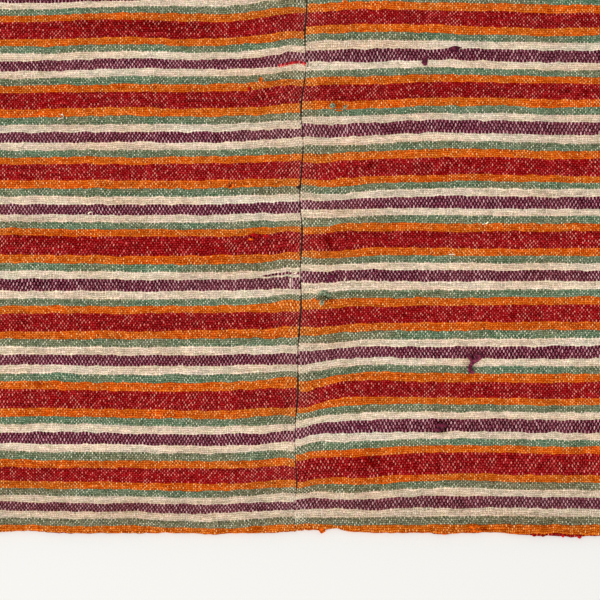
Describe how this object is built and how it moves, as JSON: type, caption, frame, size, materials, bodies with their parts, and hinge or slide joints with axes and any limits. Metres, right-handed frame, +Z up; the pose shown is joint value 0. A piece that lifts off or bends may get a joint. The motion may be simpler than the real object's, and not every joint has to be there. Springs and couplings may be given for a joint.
{
  "type": "aguayo carrying cloth, cut length",
  "caption": "Flat striped carrying cloth of two loom widths joined selvedge to selvedge by a centre seam, with a narrow hem turned under at each end.",
  "frame": {"origin": "middle of the cloth's outline, on the surface it lies on", "axes": "+X across the cloth at right angles to the centre seam, +Y along the seam from the lower hem to the upper one, +Z up out of the right side"},
  "size_m": [0.4392, 0.3582, 0.0031],
  "materials": {
    "left_weave": "plain-woven wool, cream warp, red, orange, green, white and purple weft stripes, matt",
    "right_weave": "plain-woven wool, cream warp, red, orange, green, white and purple weft stripes, matt",
    "seam_thread": "dark brown two-ply sewing thread, matt",
    "loose_yarn": "soft spun wool weft ends in the stripe colours, matt"
  },
  "bodies": {
    "root": {"left_panel": "left_weave", "right_panel": "right_weave"}
  },
  "joints": []
}
